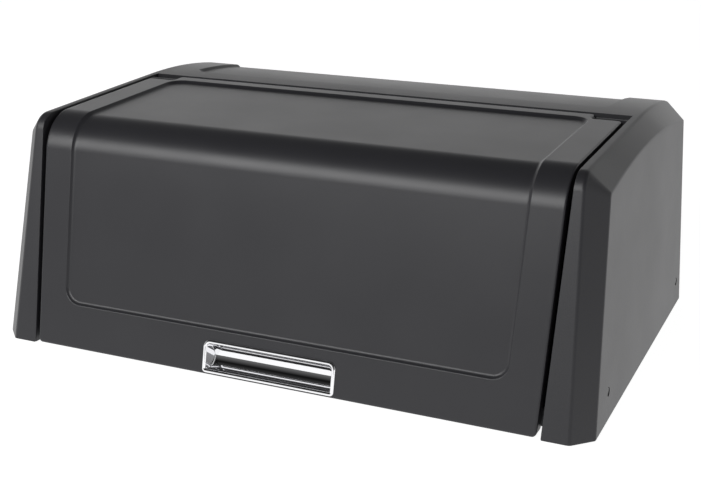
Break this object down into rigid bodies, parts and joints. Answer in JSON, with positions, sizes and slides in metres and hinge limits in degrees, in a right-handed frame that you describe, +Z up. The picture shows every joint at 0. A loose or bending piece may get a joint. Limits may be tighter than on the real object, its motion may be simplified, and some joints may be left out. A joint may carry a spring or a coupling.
{
  "type": "bread box",
  "caption": "Low black bread box with a swing-up L-shaped lid, a sunk chromed finger cup, slanted front corners and a curved rear deck.",
  "frame": {"origin": "on the table under the middle of the box", "axes": "+X to the box's right seen from the front, -Y towards the front, +Z up"},
  "size_m": [0.42, 0.2655, 0.1576],
  "materials": {
    "shell_plastic": "fine spark-eroded grain, satin",
    "lid_plastic": "smooth satin",
    "inner_plastic": "matt",
    "bright_chrome": "polished",
    "plain_steel": "zinc plated",
    "black_screw": "black oxide",
    "rubber": "matt",
    "nylon": "natural nylon"
  },
  "bodies": {
    "housing": {"housing_shell": "shell_plastic", "base_tray": "inner_plastic", "left_side_liner": "inner_plastic", "right_side_liner": "inner_plastic", "left_liner_screws": "plain_steel", "right_liner_screws": "plain_steel", "left_side_screws": "black_screw", "right_side_screws": "black_screw", "left_hinge_pin": "plain_steel", "right_hinge_pin": "plain_steel", "left_lid_stop": "rubber", "right_lid_stop": "rubber", "front_left_foot": "rubber", "front_right_foot": "rubber", "rear_left_foot": "rubber", "rear_right_foot": "rubber"},
    "lid": {"lid_panel": "lid_plastic", "handle_cup": "bright_chrome", "handle_strap": "plain_steel", "handle_screws": "plain_steel", "left_hinge_bush": "nylon", "right_hinge_bush": "nylon"}
  },
  "joints": [
    {"name": "lid_swing", "type": "hinge", "parent": "housing", "child": "lid", "pos_m": [0, 0.034, 0.1517], "axis": [-1, 0, 0], "range_deg": [0, 116]}
  ]
}
